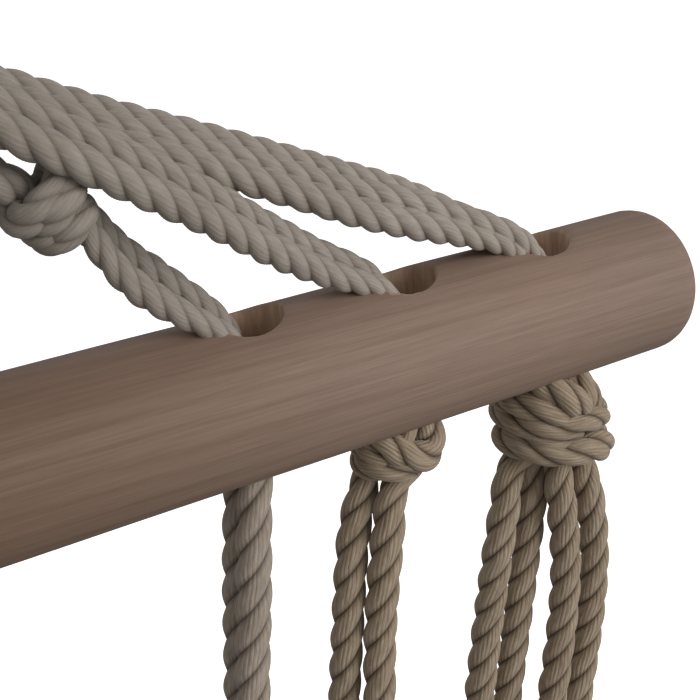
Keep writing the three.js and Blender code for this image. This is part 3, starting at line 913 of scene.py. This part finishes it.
number = 1
for column in EYE_COLUMNS:
    for layer in EYE_LAYERS:
        line = bight_line(column, layer)
        name, seed, phase = f"eye_rope_{number}", SEEDS["eye"] + number, PHASES["eye"] * number
        piece = rope(name, line, EYE_ROPE_D, HARNESS_LAY, phase, fine=False, seed=seed)
        dressed(piece, ROPE)
        if number == 1:
            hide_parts("rope_eye")
        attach(piece, "eye")
        number += 1


TWINE_PRESS = 0.97  # the turns press on each other to this share of the twine's width
TURN_POINTS = 48
TUCK_DEPTH = 3.2
TUCKS_PER_TURN = 5


def binding_line():
    """The twine's turns, one below the other, with both ends tucked inside."""
    radius = BINDING_R - TWINE_D / 2
    top, bottom = BINDING_TOP - TWINE_D / 2, BINDING_BOTTOM + TWINE_D / 2
    turns = (top - bottom) / (TWINE_D * TWINE_PRESS)
    count = int(turns * TURN_POINTS)
    points = []
    for i in range(count + 1):
        share = i / count
        a = 2 * math.pi * turns * share
        tuck = min(min(share, 1 - share) * turns * TUCKS_PER_TURN, 1)
        r = radius - TUCK_DEPTH * (1 - tuck)
        points.append((r * math.cos(a), r * math.sin(a), top + (bottom - top) * share))
    return catmull(np.array(points), 2)


line = binding_line()
binding = rope("binding", line, TWINE_D, TWINE_LAY, fine=False, seed=SEEDS["binding"])
dressed(binding, TWINE)
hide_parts("eye_binding")
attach(binding, "eye")

# -------- spreader bar

END_ROUND = 7.5
HOLE_ROUND = 0.9
BLOCK_CELLS = 26  # along the bar, for one hole
BLOCK_ARC = 9  # of the bar's ARC_CELLS
ARC_CELLS = 72
CAP_RINGS, PLAIN_RINGS, MIDDLE_RINGS = 9, 8, 157
END_RINGS = (9.0, 6.0, 3.0)  # radii of the rings on the bar's flat ends
# The bar's unevenness, as waves: [height, length over 2 pi, waves round the bar, phase].
UNEVEN = (0.07, 31, 2, 0), (0.05, 11.3, -3, 1)
MOUTH_SHARES = (0.16, 0.34, 0.52, 0.7, 0.86, 1.0)  # rings from a block's outline to the mouth
LIP_LEANS = (25, 50, 75, 90)  # rings over the mouth's rounded edge, in degrees
WALL_RINGS = 14
UPPER_ROUGH, LOWER_ROUGH, WALL_ROUGH = 0.05, 0.036, 0.07
TORN_TURN = 0.75  # how far round towards the front the splintered edge lies, in radians
TORN_HALF = 0.9  # half of its arc
TORN_DEPTH = 1.1
HOLE_XS = [side * (OUTER_HOLE_X - i * HOLE_PITCH) for side in SIDES.values() for i in range(len(HOLES))]


class Builder:
    """Collects faces, and vertices with how far inside a hole and how torn each of them is."""

    def __init__(self):
        self.vertices, self.inside, self.torn, self.faces = [], [], [], []

    def add(self, point, inside=0.0, torn=0.0):
        self.vertices.append(point)
        self.inside.append(inside)
        self.torn.append(torn)
        return len(self.vertices) - 1

    def bridge(self, first, second):
        """Quads between two closed rings of the same count."""
        count = len(first)
        for k in range(count):
            m = (k + 1) % count
            self.faces.append((first[k], first[m], second[m], second[k]))


def bar_stations():
    """Where the bar's rings lie: [x, radius] from the left-hand end to the right-hand one."""
    arc = [math.radians(a) for a in np.linspace(90, 0, CAP_RINGS)]
    cap_x, cap_r = BAR_HALF - END_ROUND, BAR_R - END_ROUND
    cap = [(cap_x + END_ROUND * math.sin(a), cap_r + END_ROUND * math.cos(a)) for a in arc]
    zone_out = OUTER_HOLE_X + HOLE_PITCH / 2
    zone_in = OUTER_HOLE_X - HOLE_PITCH * (len(HOLES) - 0.5)
    zone_rings = BLOCK_CELLS * len(HOLES)
    plain = [(x, BAR_R) for x in np.linspace(cap_x, zone_out, PLAIN_RINGS, endpoint=False)[1:]]
    holes = [(x, BAR_R) for x in np.linspace(zone_out, zone_in, zone_rings, endpoint=False)]
    middle = [(x, BAR_R) for x in np.linspace(zone_in, -zone_in, MIDDLE_RINGS)]
    right = cap + plain + holes
    left = [(-x, r) for x, r in reversed(right)]
    return (right + middle + left)[::-1]


def bar_point(x, radius, phi):
    """A point of the bar's surface, which is a little uneven as sanding by hand leaves it."""
    r = radius
    if radius > BAR_R - 0.01:
        r += sum(h * math.sin(x / length + waves * phi + start) for h, length, waves, start in UNEVEN)
    return (x, r * math.sin(phi), BAR_Z + r * math.cos(phi))


def bar_mesh():
    made = Builder()
    stations = bar_stations()
    grid = []
    for x, radius in stations:
        row = [made.add(bar_point(x, radius, 2 * math.pi * j / ARC_CELLS)) for j in range(ARC_CELLS)]
        grid.append(row)
    xs = np.array([x for x, _ in stations])
    skipped = set()
    centres = [int(np.argmin(np.abs(xs - x))) for x in HOLE_XS]
    half = BLOCK_CELLS // 2
    for row in centres:
        for i in range(row - half, row + half):
            for j in range(-BLOCK_ARC, BLOCK_ARC):
                skipped.add((i, j % ARC_CELLS))
                skipped.add((i, (j + ARC_CELLS // 2) % ARC_CELLS))
    for i in range(len(grid) - 1):
        for j in range(ARC_CELLS):
            if (i, j) not in skipped:
                m = (j + 1) % ARC_CELLS
                made.faces.append((grid[i][j], grid[i][m], grid[i + 1][m], grid[i + 1][j]))
    for x, row in zip(HOLE_XS, centres):
        drill(made, grid, stations, x, row)
    for end, row in ((-1, grid[0]), (1, grid[-1])):
        inner = row
        for radius in END_RINGS:
            round_it = [2 * math.pi * j / ARC_CELLS for j in range(ARC_CELLS)]
            points = [(radius * math.sin(a), BAR_Z + radius * math.cos(a)) for a in round_it]
            ring_here = [made.add((end * BAR_HALF, y, z)) for y, z in points]
            made.bridge(inner, ring_here)
            inner = ring_here
        made.faces.append(tuple(inner))
    return made


def drill(made, grid, stations, x, row):
    """One hole through the bar: both mouths, their rounded edges and the wall between."""
    rng = np.random.default_rng(int(abs(x)) + (500 if x < 0 else 0))
    half = BLOCK_CELLS // 2
    walk = [(di, -BLOCK_ARC) for di in range(-half, half)]
    walk += [(half, dj) for dj in range(-BLOCK_ARC, BLOCK_ARC)]
    walk += [(di, BLOCK_ARC) for di in range(half, -half, -1)]
    walk += [(-half, dj) for dj in range(BLOCK_ARC, -BLOCK_ARC, -1)]
    count = len(walk)
    step = 2 * math.pi / ARC_CELLS
    angles = np.array([math.atan2(BAR_R * dj * step, stations[row + di][0] - x) for di, dj in walk])
    rough = rng.normal(0, UPPER_ROUGH, count)
    torn = np.zeros(count)
    if abs(x) == hole_x("middle"):
        tear_at = (math.pi if x > 0 else 0.0) + math.copysign(TORN_TURN, x)
        away = np.abs((angles - tear_at + math.pi) % (2 * math.pi) - math.pi)
        torn = np.clip(1 - away / TORN_HALF, 0, 1)
        rough = rough + torn * rng.uniform(0, TORN_DEPTH, count)
    mouths = []
    for up in (1, -1):
        base = 0 if up > 0 else ARC_CELLS // 2
        outer = [grid[row + di][(base + up * dj) % ARC_CELLS] for di, dj in walk]
        ring_before = outer
        lip = HOLE_R + HOLE_ROUND
        tear = rough if up > 0 else rng.normal(0, LOWER_ROUGH, count)
        for t in MOUTH_SHARES:
            ring_here = []
            for k, (di, dj) in enumerate(walk):
                reach = lip + tear[k]
                mouth_x = x + reach * math.cos(angles[k])
                mouth_phi = math.asin(reach * math.sin(angles[k]) / BAR_R)
                far_x = stations[row + di][0]
                px = far_x + (mouth_x - far_x) * t
                phi = dj * step + (mouth_phi - dj * step) * t
                ring_here.append(made.add(bar_point(px, BAR_R, phi if up > 0 else math.pi - phi)))
            made.bridge(ring_before, ring_here)
            ring_before = ring_here
        for lean in LIP_LEANS:
            a = math.radians(lean)
            ring_here = []
            for k in range(count):
                reach = HOLE_R + HOLE_ROUND * (1 - math.sin(a)) + tear[k] * (1 - math.sin(a) ** 3)
                y = reach * math.sin(angles[k])
                z = math.sqrt(BAR_R ** 2 - y ** 2) - HOLE_ROUND * (1 - math.cos(a))
                point = (x + reach * math.cos(angles[k]), y, BAR_Z + up * z)
                ring_here.append(made.add(point, lean / LIP_LEANS[-1], torn[k] if up > 0 else 0))
            made.bridge(ring_before, ring_here)
            ring_before = ring_here
        mouths.append(ring_before)
    top, bottom = mouths
    before = top
    for w in range(1, WALL_RINGS):
        ring_here = []
        wall = rng.normal(0, WALL_ROUGH, count)
        wall = (np.roll(wall, 1) + wall + np.roll(wall, -1)) / 3
        for k in range(count):
            high, low = made.vertices[top[k]][2], made.vertices[bottom[k]][2]
            z = high + (low - high) * w / WALL_RINGS
            reach = HOLE_R + wall[k]
            point = (x + reach * math.cos(angles[k]), reach * math.sin(angles[k]), z)
            ring_here.append(made.add(point, 1.0))
        made.bridge(before, ring_here)
        before = ring_here
    made.bridge(before, bottom)


made = bar_mesh()
bar = mesh_object("bar", made.vertices, made.faces)
for name, values in (("inside", made.inside), ("torn", made.torn)):
    attribute = bar.data.attributes.new(name, "FLOAT", "POINT")
    attribute.data.foreach_set("value", np.array(values, np.float32))
tidy = bmesh.new()
tidy.from_mesh(bar.data)
bmesh.ops.recalc_face_normals(tidy, faces=tidy.faces)
tidy.to_mesh(bar.data)
tidy.free()
dressed(bar, WOOD)
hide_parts("spreader_bar")
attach(bar, "bar")

# -------- floor and light

FLOOR_Z = -1.45
ROOM = 18.0


def backdrop():
    """A pale floor that runs up into a white surround. It gives no light of its own to the seat."""
    mesh = bpy.data.meshes.new("floor")
    shape = bmesh.new()
    bmesh.ops.create_uvsphere(shape, u_segments=48, v_segments=24, radius=ROOM)
    for corner in shape.verts:
        corner.co.z = max(corner.co.z, FLOOR_Z)
    shape.to_mesh(mesh)
    shape.free()
    floor = placed("floor", mesh)
    white = Shader("floor_look")
    white.feed(white.surface, {
        "Base Color": (0.8, 0.8, 0.8, 1), "Emission Color": (1, 1, 1, 1), "Emission Strength": 1.0})
    mesh.materials.append(white.material)
    for rays in ("diffuse", "glossy", "shadow", "transmission"):
        setattr(floor, f"visible_{rays}", False)


def panel(name, place, target, size, power):
    """A soft square light that faces a point."""
    data = bpy.data.lights.new(name, "AREA")
    data.size = size
    data.energy = power
    light = placed(name, data)
    light.location = place
    light.rotation_euler = (Vector(place) - Vector(target)).to_track_quat("Z", "Y").to_euler()
    light.visible_camera = False


backdrop()
panel("key", (1.5, -1.7, 0.2), (0.4, 0, -0.45), 1.5, 33)
panel("fill", (-1.4, -1.8, 1.6), (0, 0, -0.6), 2.5, 8)
panel("back", (0.6, 2.6, 1.2), (0, 0, -0.6), 2.5, 16)

world = bpy.data.worlds.new("studio")
bpy.context.scene.world = world
world.use_nodes = True
background = world.node_tree.nodes["Background"].inputs
background["Color"].default_value = (1, 0.985, 0.965, 1)
background["Strength"].default_value = 0.26
bpy.context.scene.view_settings.view_transform = "Standard"
